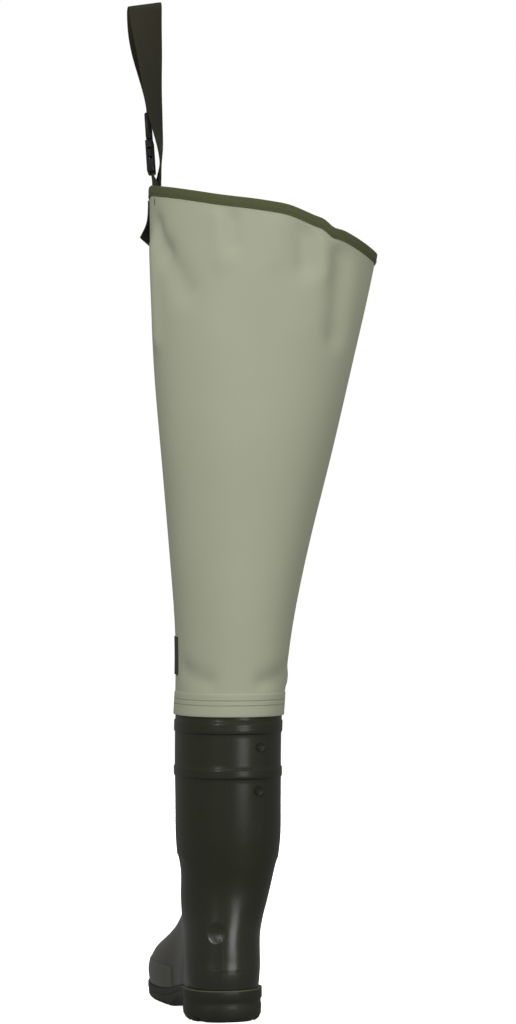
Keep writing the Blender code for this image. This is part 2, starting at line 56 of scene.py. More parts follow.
# Lengths are in metres, as in the frame: +Y to the toe, +X to the inner side, +Z up the leg
MERGE = 1e-6
WIDEST_JOIN = math.radians(180)

# Middle line of the leg and the boot's shaft: height, x, y
SHAFT_AXIS = (
    (0.060, 0.001, 0.005),
    (0.136, 0.007, 0.021),
    (0.190, 0.012, 0.025),
    (0.371, 0.016, 0.0295),
    (0.525, 0.0255, 0.031),
    (0.740, 0.043, 0.0335),
    (0.940, 0.062, 0.035),
)

# Middle line inside the boot, from its top to the toes: x, y, height
BOOT_BONE = (
    (0.0155, 0.0295, 0.380),
    (0.012, 0.025, 0.190),
    (0.003, 0.012, 0.097),
    (0.001, 0.030, 0.058),
    (0.004, 0.110, 0.046),
    (0.006, 0.185, 0.036),
)

# Folds of the leg: angle and height of both ends, half width, depth outwards. The angles of folds, waves,
# studs and stitch bars are in degrees from the back, positive to the inner side.
LEG_FOLDS = (
    (-82, 0.892, -73, 0.860, 0.013, -0.0054),
    (-73, 0.860, -55, 0.818, 0.016, -0.0048),
    (-88, 0.868, -82, 0.765, 0.013, 0.0040),
    (-40, 0.905, -36, 0.850, 0.013, 0.0022),
    (-33, 0.912, -30, 0.868, 0.009, -0.0034),
    (-8, 0.900, -4, 0.850, 0.014, 0.0020),
    (13, 0.893, 18, 0.846, 0.014, -0.0050),
    (25, 0.880, 31, 0.835, 0.012, 0.0026),
    (41, 0.862, 46, 0.770, 0.016, -0.0052),
    (-60, 0.392, -36, 0.379, 0.011, -0.0034),
    (50, 0.392, 22, 0.379, 0.011, -0.0034),
    (78, 0.376, 78, 0.384, 0.009, 0.0022),
    (120, 0.880, 128, 0.830, 0.014, -0.0034),
    (-140, 0.905, -146, 0.850, 0.014, -0.0034),
    (150, 0.372, 150, 0.420, 0.012, -0.0025),
)

# Collar, as in the part: half sizes, and the height of its edge by degrees round the leg from the strap
COLLAR_HALF = (0.1338, 0.101)
COLLAR_EDGE = (
    (0, 0.9385),
    (30, 0.9315),
    (45, 0.9265),
    (60, 0.9208),
    (75, 0.9168),
    (90, 0.9110),
    (120, 0.8855),
    (150, 0.8655),
    (180, 0.8615),
)

# Buckling of the collar's edge: angle, half width in degrees and rise, then how far down it reaches
COLLAR_WAVES = (
    (2, 8, 0.0008),
    (25.5, 4.5, 0.0014),
    (32.5, 4.5, -0.0026),
)
COLLAR_WAVE_REACH = 0.035

# Mean radius of the collar, for laying out the tape's weave, and the tape's height
COLLAR_RADIUS = 0.118
BINDING_HEIGHT = 0.0095

# Folds come in below the binding and above the hem, over these heights
FOLD_START = 0.015
HEM_TOP = 0.367
HEM_FADE = 0.012

# Half width, depth and darkness of the hem's weld lines, and their colour as a share of the leg's
WELD_HALF = 0.0011
WELD_DEPTH = 0.0005
WELD_DARK = 0.4
WELD_SHADE = 0.55

# Rays that look for a surface start this far from the middle line
CAST_REACH = 0.3

# Bends that count as edges when a piece is refined or rounded
BOOT_BEND = math.radians(28)
LEG_BEND = math.radians(30)
SOLE_BEND = math.radians(32)
BUCKLE_BEND = math.radians(35)
BINDING_BEND = math.radians(40)
PATCH_BEND = math.radians(40)
STRAP_BEND = math.radians(60)

# Round hollow above the heel: its middle, the reach of its finer faces, and how steep its sides are
DIMPLE = (-0.0128, -0.0350, 0.1000)
DIMPLE_REACH = 0.019
DIMPLE_POWER = 1.4

# Toe guard: where its back and top edges step out, half the width of the line along them, and how
# dark it is, as a share of the boot's colour
GUARD_BACK = (0.092, 0.095)
GUARD_TOP = (0.0490, 0.0455)
GUARD_LINE = 0.0011
GUARD_LINE_SHADE = 0.35

# Studs: angle and height, how deep they are set in, rim, hollow and rounding as shares of their size, and
# the number of their sides
STUDS = ((18.2, 0.3075), (17.4, 0.2586))
STUD_SINK = 0.0008
STUD_RIM = 0.3
STUD_HOLLOW = 0.7
STUD_ROUND = 0.25
STUD_SIDES = 28

# Mould's parting line up the back: x at the floor, lean per metre, half width and rise
PARTING_FOOT = -0.0083
PARTING_LEAN = 0.0236
PARTING_HALF = 0.0008
PARTING_RISE = 0.00008

# Short line across the heel: height, half width, rise, and the distances aside that it fades between
HEEL_LINE = 0.058
HEEL_LINE_HALF = 0.0016
HEEL_LINE_RISE = 0.0005
HEEL_LINE_ENDS = (0.019, 0.009)

# Polish: the heights that it grows between, its weight on the shaft, and what the foot has on top of that
POLISH_HEIGHTS = (0.128, 0.100)
POLISH_SHAFT = 0.12
POLISH_FOOT = 0.5

# Stitches: height above the binding's lower edge, then half height and lift as shares of the thread
STITCH_INSET = 0.0022
STITCH_HALF = 0.35
STITCH_LIFT = 0.2

# Bars of stitches under the binding: angle and height of their middles, half their height, then spacing
# and thickness as shares of the thread, and their colour as a share of the lining's
TACKS = ((-83, 0.9195), (-97, 0.9195))
TACK_HALF = 0.0034
TACK_SPACING = 1.2
TACK_THICK = 1.4
TACK_SHADE = 0.55

# Darkest and lightest patches of a finish, worn spots, and the painted shade in a weave's gaps and painted
# highlight on its tops, as shares of the colour
BOOT_PATCHES = (0.92, 1.08)
SOLE_PATCHES = (0.85, 1.25)
LEG_PATCHES = (0.965, 1.035)
PLAIN_PATCHES = (0.9, 1.1)
BOOT_WORN = 2.2
SOLE_WORN = 2.4
WEAVE_GAP_SHADE = (0.62, 0.74)
WEAVE_TOP_HIGHLIGHT = 1.22

# Roughness of the sole, and what patches and wear add to a finish's roughness
SOLE_ROUGH = 0.42
BOOT_PATCH_ROUGH = 0.05
SOLE_PATCH_ROUGH = 0.08
PLAIN_PATCH_ROUGH = 0.06
WORN_ROUGH = 0.25

# The upper's underside is brought down onto the sole, over the gap that the solids keep
UNDERSIDE = -0.6
SOLE_OVERLAP = 0.0007

# Edge of the shaft's panel, which fades out across the back: height at the heel's middle, rise per metre
# towards the toe, step and the step's own height, the height that it fades over, and the angles from the
# back between which it comes in
PANEL_BACK = 0.1791
PANEL_RISE = 0.10
PANEL_STEP = 0.0012
PANEL_EDGE = 0.002
PANEL_FADE = 0.032
PANEL_TURN = (42, 72)

# A painted warm reflection comes in along the foot between these places
TOE_REFLECTION = (0.055, 0.135)

# Painted highlight along the top edge of the heel block: height, half width, how far forwards it goes, and
# share of the colour
HEEL_EDGE_HIGHLIGHT = 0.0355
HEEL_EDGE_HIGHLIGHT_HALF = 0.0011
HEEL_EDGE_HIGHLIGHT_FRONT = 0.015
HEEL_EDGE_HIGHLIGHT_SHARE = 5.0

# Lights: name, what it faces, its place from there (towards the camera, to the right, up), its size, and
# whether gloss mirrors it
LEG_MIDDLE = (0.03, 0.03, 0.55)
HEEL_MIDDLE = (0.0, -0.04, 0.1)
LIGHTS = (
    ("key", LEG_MIDDLE, (2.5, -1.25, 1.3), (1.6, 1.6), False),
    ("fill", LEG_MIDDLE, (1.2, 2.6, 0.4), (1.4, 2.0), False),
    ("front", LEG_MIDDLE, (-3.0, 0.0, 1.2), (1.8, 1.8), False),
    ("top", LEG_MIDDLE, (0.2, 0.0, 2.6), (2.4, 2.4), True),
    ("strip", HEEL_MIDDLE, (2.6, 1.45, 0.25), (0.85, 0.45), True),
    ("spark", HEEL_MIDDLE, (2.5, -1.3, 1.2), (0.35, 0.35), True),
)

# Half the floor's width
FLOOR_HALF = 14.0


def smooth_step(low, high, value):
    """0 below low and 1 above high, with a soft start and end."""
    share = np.clip((value - low) / (high - low), 0.0, 1.0)
    return share * share * (3.0 - 2.0 * share)


def smooth_table(table, places):
    """Smooth values of a table's second column at places on its first."""
    keys, values = np.array(table, dtype=float).T
    slopes = np.gradient(values, keys)
    low = np.clip(np.searchsorted(keys, places) - 1, 0, len(keys) - 2)
    span = keys[low + 1] - keys[low]
    t = (places - keys[low]) / span
    start = values[low] + (values[low + 1] - values[low]) * (3 * t**2 - 2 * t**3)
    bend = slopes[low] * (t**3 - 2 * t**2 + t) + slopes[low + 1] * (t**3 - t**2)
    return start + bend * span


def shaft_middle(points):
    """Middle points of the leg and shaft, level with the given points."""
    rows = np.array(SHAFT_AXIS)
    heights = points[:, 2]
    across = np.interp(heights, rows[:, 0], rows[:, 1])
    along = np.interp(heights, rows[:, 0], rows[:, 2])
    return np.stack([across, along, heights], axis=1)


def from_middle(points):
    """Level vectors from the middle line out to the points, and their angles from the back."""
    out = points - shaft_middle(points)
    return out, np.arctan2(out[:, 0], -out[:, 1])


def segment_nearest(points, start, end):
    """The points of a segment that are nearest to the given points, and how far away they are."""
    start = np.asarray(start, dtype=float)
    step = np.asarray(end, dtype=float) - start
    share = np.clip((points - start) @ step / (step @ step), 0.0, 1.0)
    near = start + share[:, None] * step
    return near, np.linalg.norm(points - near, axis=1)


def bone_points(points):
    """Nearest point of the boot's middle line for each point."""
    best = np.full(len(points), np.inf)
    found = np.zeros_like(points)
    for start, end in zip(BOOT_BONE, BOOT_BONE[1:]):
        near, distance = segment_nearest(points, start, end)
        closer = distance < best
        best[closer] = distance[closer]
        found[closer] = near[closer]
    return found


def looks_out(normals, points, middles):
    """Whether each normal points away from the middle line, whose near points middles gives."""
    return np.einsum("ij,ij->i", normals, points - middles(points)) > 0.0


def cad_copy(node):
    """A copy of a CAD node with its split corners merged and its triangle pairs joined to quads."""
    bm = bmesh.new()
    bm.from_mesh(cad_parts[node].data)
    bmesh.ops.remove_doubles(bm, verts=bm.verts, dist=MERGE)
    bmesh.ops.join_triangles(
        bm,
        faces=bm.faces,
        angle_face_threshold=WIDEST_JOIN,
        angle_shape_threshold=WIDEST_JOIN,
    )
    bmesh.ops.recalc_face_normals(bm, faces=bm.faces)
    return bm


def cad_tree(node):
    """A search tree over a CAD node, for casting rays at it."""
    bm = cad_copy(node)
    tree = BVHTree.FromBMesh(bm)
    bm.free()
    return tree


def crease_bends(bm, angle, weight):
    """Marks the edges that bend more than an angle, so that subdivision keeps them."""
    layer = bm.edges.layers.float.get("crease_edge") or bm.edges.layers.float.new("crease_edge")
    for edge in bm.edges:
        if edge.calc_face_angle(math.pi) > angle:
            edge[layer] = weight


def subdivided(bm, levels):
    """The bmesh after a Subdivision Surface modifier, as a new mesh."""
    rough = bpy.data.meshes.new("rough")
    bm.to_mesh(rough)
    bm.free()
    holder = bpy.data.objects.new("rough", rough)
    bpy.context.scene.collection.objects.link(holder)
    modifier = holder.modifiers.new("Subdivision", "SUBSURF")
    modifier.levels = levels
    modifier.render_levels = levels
    graph = bpy.context.evaluated_depsgraph_get()
    mesh = bpy.data.meshes.new_from_object(holder.evaluated_get(graph))
    bpy.data.objects.remove(holder)
    bpy.data.meshes.remove(rough)
    return mesh


def vectors(items, name):
    """A vector that each of a mesh's items has, as an array."""
    flat = np.empty(len(items) * 3)
    items.foreach_get(name, flat)
    return flat.reshape(-1, 3)


def set_points(mesh, points):
    """Puts an array of points back on the mesh."""
    mesh.vertices.foreach_set("co", points.ravel())
    mesh.update()


def mesh_from(bm, name):
    """The bmesh as a new mesh."""
    mesh = bpy.data.meshes.new(name)
    bm.to_mesh(mesh)
    bm.free()
    return mesh


def add_piece(mesh, name, materials, nodes=()):
    """Adds a finished piece that rides on the part and stands for CAD nodes."""
    mesh.name = name
    mesh.materials.clear()
    for material in materials:
        mesh.materials.append(material)
    mesh.polygons.foreach_set("use_smooth", [True] * len(mesh.polygons))
    mesh.update()
    piece = bpy.data.objects.new(name, mesh)
    bpy.context.scene.collection.objects.link(piece)
    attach(piece, BODY)
    for node in nodes:
        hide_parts(node)
    return piece


def add_bevel(piece, width, angle):
    """Rounds the piece's sharp edges with a modifier."""
    modifier = piece.modifiers.new("Bevel", "BEVEL")
    modifier.width = width
    modifier.segments = 2
    modifier.limit_method = "ANGLE"
    modifier.angle_limit = angle
    modifier.harden_normals = False


def new_group(name, inputs, outputs):
    """An empty shader node group with the named sockets."""
    tree = bpy.data.node_groups.new(name, "ShaderNodeTree")
    for label, kind in inputs:
        tree.interface.new_socket(label, in_out="INPUT", socket_type=kind)
    for label, kind in outputs:
        tree.interface.new_socket(label, in_out="OUTPUT", socket_type=kind)
    start = tree.nodes.new("NodeGroupInput")
    end = tree.nodes.new("NodeGroupOutput")
    return tree, start, end


def plug(tree, socket, value):
    """Links a socket to another one, or sets it to a plain value."""
    if isinstance(value, bpy.types.NodeSocket):
        tree.links.new(value, socket)
    else:
        socket.default_value = value


def calc(tree, operation, *values, clamp=False):
    """A Math node over sockets and numbers."""
    node = tree.nodes.new("ShaderNodeMath")
    node.operation = operation
    node.use_clamp = clamp
    for socket, value in zip(node.inputs, values):
        plug(tree, socket, value)
    return node.outputs[0]


def noise(tree, vector, scale, detail):
    """Value of a noise texture."""
    node = tree.nodes.new("ShaderNodeTexNoise")
    plug(tree, node.inputs["Vector"], vector)
    plug(tree, node.inputs["Scale"], scale)
    node.inputs["Detail"].default_value = detail
    return node.outputs["Fac"]


def ramp(tree, value, low, high):
    """Maps the range from low to high onto 0 to 1."""
    node = tree.nodes.new("ShaderNodeMapRange")
    plug(tree, node.inputs["Value"], value)
    node.inputs["From Min"].default_value = low
    node.inputs["From Max"].default_value = high
    return node.outputs["Result"]


def blend(tree, share, first, second):
    """Mixes two colours, each a socket or three numbers."""
    node = tree.nodes.new("ShaderNodeMix")
    node.data_type = "RGBA"
    plug(tree, node.inputs[0], share)
    for socket, value in zip((node.inputs[6], node.inputs[7]), (first, second)):
        plug(tree, socket, value if isinstance(value, bpy.types.NodeSocket) else (*value, 1.0))
    return node.outputs[2]


def use_group(tree, group, **values):
    """Places a node group, with its inputs linked or set."""
    node = tree.nodes.new("ShaderNodeGroup")
    node.node_tree = group
    for label, value in values.items():
        plug(tree, node.inputs[label], value)
    return node.outputs


def line_group():
    """A soft line: 1 where a value is at the centre, 0 from a width away."""
    name = "soft line"
    if name in bpy.data.node_groups:
        return bpy.data.node_groups[name]
    sockets = [("Value", "NodeSocketFloat"), ("Centre", "NodeSocketFloat"), ("Width", "NodeSocketFloat")]
    tree, start, end = new_group(name, sockets, [("Mask", "NodeSocketFloat")])
    away = calc(tree, "SUBTRACT", start.outputs["Value"], start.outputs["Centre"])
    share = calc(tree, "DIVIDE", calc(tree, "ABSOLUTE", away), start.outputs["Width"])
    tree.links.new(calc(tree, "SUBTRACT", 1.0, share, clamp=True), end.inputs["Mask"])
    return tree


def grain_group():
    """Fine grain for bump, and broad patches for colour and gloss."""
    name = "grain"
    if name in bpy.data.node_groups:
        return bpy.data.node_groups[name]
    sockets = [("Vector", "NodeSocketVector"), ("Fine", "NodeSocketFloat"), ("Broad", "NodeSocketFloat")]
    tree, start, end = new_group(
        name, sockets, [("Height", "NodeSocketFloat"), ("Patches", "NodeSocketFloat")]
    )
    vector = start.outputs["Vector"]
    tree.links.new(noise(tree, vector, start.outputs["Fine"], detail=2.0), end.inputs["Height"])
    broad = noise(tree, vector, start.outputs["Broad"], detail=3.0)
    tree.links.new(ramp(tree, broad, low=0.3, high=0.7), end.inputs["Patches"])
    return tree


def weave_group():
    """Plain weave on a flat map in metres: raised threads in a chequer."""
    name = "weave"
    if name in bpy.data.node_groups:
        return bpy.data.node_groups[name]
    sockets = [("Vector", "NodeSocketVector"), ("Threads", "NodeSocketFloat")]
    tree, start, end = new_group(name, sockets, [("Height", "NodeSocketFloat")])
    parts = tree.nodes.new("ShaderNodeSeparateXYZ")
    tree.links.new(start.outputs["Vector"], parts.inputs[0])
    turns = calc(tree, "MULTIPLY", start.outputs["Threads"], math.tau)
    along = calc(tree, "SINE", calc(tree, "MULTIPLY", parts.outputs[0], turns))
    across = calc(tree, "SINE", calc(tree, "MULTIPLY", parts.outputs[1], turns))
    chequer = calc(tree, "MULTIPLY", along, across)
    tree.links.new(ramp(tree, chequer, low=-1.0, high=1.0), end.inputs["Height"])
    return tree


def wear_group():
    """Faint dust and rubbed spots, as a mask."""
    name = "wear"
    if name in bpy.data.node_groups:
        return bpy.data.node_groups[name]
    sockets = [("Vector", "NodeSocketVector"), ("Amount", "NodeSocketFloat")]
    tree, start, end = new_group(name, sockets, [("Mask", "NodeSocketFloat")])
    cloud = noise(tree, start.outputs["Vector"], scale=38.0, detail=6.0)
    spots = ramp(tree, cloud, low=0.52, high=0.78)
    tree.links.new(calc(tree, "MULTIPLY", spots, start.outputs["Amount"]), end.inputs["Mask"])
    return tree


def new_material(name):
    """A material with its node tree, its surface shader, and Object coordinates."""
    material = bpy.data.materials.new(name)
    material.use_nodes = True
    tree = material.node_tree
    shader = tree.nodes["Principled BSDF"]
    place = tree.nodes.new("ShaderNodeTexCoord").outputs["Object"]
    return material, tree, shader, place


def add_bump(tree, shader, height, depth):
    """Bends the shader's normal by a height from 0 to 1 times a depth, after any bump that is there."""
    node = tree.nodes.new("ShaderNodeBump")
    node.inputs["Strength"].default_value = 1.0
    node.inputs["Distance"].default_value = depth
    plug(tree, node.inputs["Height"], height)
    for link in list(tree.links):
        if link.to_socket == shader.inputs["Normal"]:
            tree.links.new(link.from_socket, node.inputs["Normal"])
    tree.links.new(node.outputs["Normal"], shader.inputs["Normal"])


def split(tree, vector):
    """The three parts of a vector."""
    node = tree.nodes.new("ShaderNodeSeparateXYZ")
    tree.links.new(vector, node.inputs[0])
    return node.outputs


def scaled(colour, share):
    """A colour made lighter or darker."""
    return tuple(min(part * share, 1.0) for part in colour)


def patchy(tree, patches, colour, shares):
    """A colour that goes from a darker share of itself to a lighter one in patches."""
    darkest, lightest = shares
    return blend(tree, patches, scaled(colour, darkest), scaled(colour, lightest))


def soft_line(tree, value, centre, half):
    """Mask of a soft line where a value is at the centre."""
    return use_group(tree, line_group(), Value=value, Centre=centre, Width=half)["Mask"]


def guard_masks(tree, y, z):
    """Masks of the toe guard and of the thin line along its edge."""
    back = 0.5 * sum(GUARD_BACK)
    top = 0.5 * sum(GUARD_TOP)
    ahead = calc(tree, "GREATER_THAN", y, back)
    below = calc(tree, "LESS_THAN", z, top)
    across = calc(tree, "MULTIPLY", soft_line(tree, z, top, GUARD_LINE), ahead)
    down = calc(tree, "MULTIPLY", soft_line(tree, y, back, GUARD_LINE), below)
    return calc(tree, "MULTIPLY", ahead, below), calc(tree, "MAXIMUM", across, down)


def boot_material(colours, form):
    """Glossy moulded PVC, faintly dusty, with a painted warm reflection on the toe and toe guard, the
    mould's parting line and a line across the heel.
    """
    material, tree, shader, place = new_material("boot PVC")
    grain = use_group(tree, grain_group(), Vector=place, Fine=700.0, Broad=16.0)
    wear = use_group(tree, wear_group(), Vector=place, Amount=form.wear)["Mask"]
    x, y, z = split(tree, place)
    guard, edge = guard_masks(tree, y, z)
    colour = patchy(tree, grain["Patches"], colours.boot, BOOT_PATCHES)
    # The toe and the toe guard get a lighter, warmer colour: a painted reflection
    colour = blend(tree, ramp(tree, y, *TOE_REFLECTION), colour, colours.toe)
    colour = blend(tree, guard, colour, colours.guard)
    colour = blend(tree, edge, colour, scaled(colours.boot, GUARD_LINE_SHADE))
    colour = blend(tree, wear, colour, scaled(colours.boot, BOOT_WORN))
    tree.links.new(colour, shader.inputs["Base Color"])
    rough = calc(tree, "MULTIPLY_ADD", grain["Patches"], BOOT_PATCH_ROUGH, form.boot_roughness)
    rough = calc(tree, "MULTIPLY_ADD", wear, WORN_ROUGH, rough)
    tree.links.new(rough, shader.inputs["Roughness"])
    foot = ramp(tree, z, *POLISH_HEIGHTS)
    polish = calc(tree, "MULTIPLY_ADD", foot, POLISH_FOOT, POLISH_SHAFT)
    tree.links.new(polish, shader.inputs["Coat Weight"])
    shader.inputs["Coat Roughness"].default_value = 0.18
    upright = calc(tree, "MULTIPLY_ADD", z, -PARTING_LEAN, x)
    parting = soft_line(tree, upright, PARTING_FOOT, PARTING_HALF)
    back = calc(tree, "LESS_THAN", y, 0.0)
    near = ramp(tree, calc(tree, "ABSOLUTE", x), *HEEL_LINE_ENDS)
    heel = calc(tree, "MULTIPLY", back, near)
    heel_line = calc(tree, "MULTIPLY", soft_line(tree, z, HEEL_LINE, HEEL_LINE_HALF), heel)
    add_bump(tree, shader, grain["Height"], depth=0.00004)
    add_bump(tree, shader, parting, depth=PARTING_RISE)
    add_bump(tree, shader, heel_line, depth=HEEL_LINE_RISE)
    return material


def sole_material(colours, form):
    """Satin PVC, a little dusty, with a painted highlight along the heel block's top edge."""
    material, tree, shader, place = new_material("sole PVC")
    grain = use_group(tree, grain_group(), Vector=place, Fine=500.0, Broad=22.0)
    wear = use_group(tree, wear_group(), Vector=place, Amount=form.wear)["Mask"]
    y, z = split(tree, place)[1:]
    # Painted highlight: a light line along the heel block's top edge
    heel = calc(tree, "LESS_THAN", y, HEEL_EDGE_HIGHLIGHT_FRONT)
    edge_highlight = calc(tree, "MULTIPLY", soft_line(tree, z, HEEL_EDGE_HIGHLIGHT, HEEL_EDGE_HIGHLIGHT_HALF), heel)
    colour = patchy(tree, grain["Patches"], colours.sole, SOLE_PATCHES)
    colour = blend(tree, edge_highlight, colour, scaled(colours.sole, HEEL_EDGE_HIGHLIGHT_SHARE))
    colour = blend(tree, wear, colour, scaled(colours.sole, SOLE_WORN))
    tree.links.new(colour, shader.inputs["Base Color"])
    rough = calc(tree, "MULTIPLY_ADD", grain["Patches"], SOLE_PATCH_ROUGH, SOLE_ROUGH)
    tree.links.new(rough, shader.inputs["Roughness"])
    shader.inputs["Coat Weight"].default_value = 0.1
    add_bump(tree, shader, grain["Height"], depth=0.00008)
    return material


def leg_material(colours, form):
    """Matte coated fabric with two weld lines round its hem."""
    material, tree, shader, place = new_material("coated fabric")
    grain = use_group(tree, grain_group(), Vector=place, Fine=1500.0, Broad=7.0)
    z = split(tree, place)[2]
    upper = soft_line(tree, z, form.weld_upper, WELD_HALF)
    lower = soft_line(tree, z, form.weld_lower, WELD_HALF)
    welds = calc(tree, "ADD", upper, lower)
    dark = calc(tree, "MULTIPLY", welds, WELD_DARK)
    colour = patchy(tree, grain["Patches"], colours.leg, LEG_PATCHES)
    colour = blend(tree, dark, colour, scaled(colours.leg, WELD_SHADE))
    tree.links.new(colour, shader.inputs["Base Color"])
    shader.inputs["Roughness"].default_value = 0.68
    shader.inputs["Sheen Weight"].default_value = 0.05
    add_bump(tree, shader, grain["Height"], depth=0.00006)
    add_bump(tree, shader, calc(tree, "SUBTRACT", 1.0, welds), depth=WELD_DEPTH)
    return material


def plain_material(name, colour, rough, fine, depth):
    """One colour with a fine grain."""
    material, tree, shader, place = new_material(name)
    grain = use_group(tree, grain_group(), Vector=place, Fine=fine, Broad=30.0)
    base = patchy(tree, grain["Patches"], colour, PLAIN_PATCHES)
    tree.links.new(base, shader.inputs["Base Color"])
    rough = calc(tree, "MULTIPLY_ADD", grain["Patches"], PLAIN_PATCH_ROUGH, rough)
    tree.links.new(rough, shader.inputs["Roughness"])
    add_bump(tree, shader, grain["Height"], depth)
    return material


def woven_material(name, colour, threads, depth):
    """Woven tape or webbing on the piece's own map, which is in metres, with painted shade in the gaps
    between threads and a painted highlight on their tops.
    """
    material, tree, shader, place = new_material(name)
    flat = tree.nodes.new("ShaderNodeUVMap")
    flat.uv_map = "weave"
    weave = use_group(tree, weave_group(), Vector=flat.outputs["UV"], Threads=threads)["Height"]
    grain = use_group(tree, grain_group(), Vector=place, Fine=900.0, Broad=40.0)
    # Painted shade in the weave's gaps and a painted highlight on its raised threads, following the
    # weave's height
    shaded_gaps = patchy(tree, grain["Patches"], colour, WEAVE_GAP_SHADE)
    base = blend(tree, weave, shaded_gaps, scaled(colour, WEAVE_TOP_HIGHLIGHT))
    tree.links.new(base, shader.inputs["Base Color"])
    shader.inputs["Roughness"].default_value = 0.82
    shader.inputs["Sheen Weight"].default_value = 0.03
    add_bump(tree, shader, weave, depth)
    return material


def thread_material(name, colour):
    """Sewing thread."""
    return plain_material(name, colour, rough=0.7, fine=3000.0, depth=0.00005)


def leg_fold_depths(points):
    """How far each point of the leg moves outwards for the folds."""
    out, angles = from_middle(points)
    reach = np.linalg.norm(out, axis=1)
    angles = np.degrees(angles)
    depths = np.zeros(len(points))
    for angle_a, height_a, angle_b, height_b, width, depth in LEG_FOLDS:
        centre = 0.5 * (angle_a + angle_b)
        turned = np.radians((angles - centre + 180.0) % 360.0 - 180.0) * reach
        flat = np.stack([turned, points[:, 2]], axis=1)
        half = math.radians(0.5 * (angle_b - angle_a)) * float(np.mean(reach))
        distance = segment_nearest(flat, (-half, height_a), (half, height_b))[1]
        depths += depth * np.exp(-((distance / width) ** 2))
    return depths


def collar_line(angles):
    """Height of the collar's edge at angles from the back, positive to the inner side."""
    across = np.sin(angles) / COLLAR_HALF[0]
    along = -np.cos(angles) / COLLAR_HALF[1]
    return smooth_table(COLLAR_EDGE, np.degrees(np.arctan2(np.abs(along), -across)))


def collar_wave(angles):
    """Small rise and fall of the collar's edge where the fabric buckles."""
    degrees = (np.degrees(angles) + 180.0) % 360.0 - 180.0
    waves = [rise * np.exp(-(((degrees - middle) / width) ** 2)) for middle, width, rise in COLLAR_WAVES]
    return np.sum(waves, axis=0)


def outer_hit(tree, angle, height):
    """Point and normal of a surface round the leg at an angle from the back."""
    middle = Vector(shaft_middle(np.array([[0.0, 0.0, height]]))[0])
    outwards = Vector((math.sin(angle), -math.cos(angle), 0.0))
    point, normal = tree.ray_cast(middle + outwards * CAST_REACH, -outwards)[:2]
    if point is None:
        raise RuntimeError(f"No surface at {math.degrees(angle):.0f} degrees and {height:.3f} m")
    return point, normal


def add_stitch(bm, point, normal, along, length, thick):
    """One thread stitch lying on a surface."""
    side = normal.cross(along).normalized()
    along = side.cross(normal).normalized()
    turn = Matrix((along, side, normal)).transposed().to_4x4()
    size = Matrix.Diagonal((0.5 * length, 0.5 * thick, STITCH_HALF * thick, 1.0))
    place = Matrix.Translation(point + normal * (STITCH_LIFT * thick)) @ turn @ size
    bmesh.ops.create_uvsphere(bm, u_segments=6, v_segments=4, radius=1.0, matrix=place)


def strap_map(bm):
    """Gives a four-sided strap a flat map in metres: along it and across it."""
    start = min(bm.verts, key=lambda vert: vert.co.z)
    cap = min(start.link_faces, key=lambda face: face.calc_area())
    ring = list(cap.verts)
    level = {vert: 0.0 for vert in ring}
    across = {}
    travelled = 0.0
    while ring:
        middle = sum((vert.co for vert in ring), Vector()) / len(ring)
        widest = max(ring, key=lambda vert: (vert.co - ring[0].co).length)
        direction = (widest.co - ring[0].co).normalized()
        for vert in ring:
            across[vert] = (vert.co - middle).dot(direction)
        following = []
        for vert in ring:
            for edge in vert.link_edges:
                other = edge.other_vert(vert)
                if other not in level and other not in following:
                    following.append(other)
        if following:
            centre = sum((vert.co for vert in following), Vector()) / len(following)
            travelled += (centre - middle).length
        for vert in following:
            level[vert] = travelled
        ring = following
    layer = bm.loops.layers.uv.new("weave")
    for face in bm.faces:
        for loop in face.loops:
            loop[layer].uv = (level[loop.vert], across[loop.vert])


def round_map(mesh):
    """Gives a band round the collar a flat map in metres: round it and up it."""
    layer = mesh.uv_layers.new(name="weave")
    points = vectors(mesh.vertices, "co")
    angles = from_middle(points)[1]
    heights = points[:, 2] - collar_line(angles)
    corner_vertex = np.empty(len(mesh.loops), dtype=int)
    mesh.loops.foreach_get("vertex_index", corner_vertex)
    first = np.empty(len(mesh.polygons), dtype=int)
    count = np.empty(len(mesh.polygons), dtype=int)
    mesh.polygons.foreach_get("loop_start", first)
    mesh.polygons.foreach_get("loop_total", count)
    base = np.repeat(angles[corner_vertex[first]], count)
    turned = angles[corner_vertex] - base
    turned = base + (turned + math.pi) % math.tau - math.pi
    flat = np.stack([turned * COLLAR_RADIUS, heights[corner_vertex]], axis=1)
    layer.data.foreach_set("uv", flat.ravel())


def line_inside(mesh, middles):
    """Gives the faces that look at the middle line the second material."""
    centres = vectors(mesh.polygons, "center")
    outside = looks_out(vectors(mesh.polygons, "normal"), centres, middles)
    mesh.polygons.foreach_set("material_index", (~outside).astype(int))


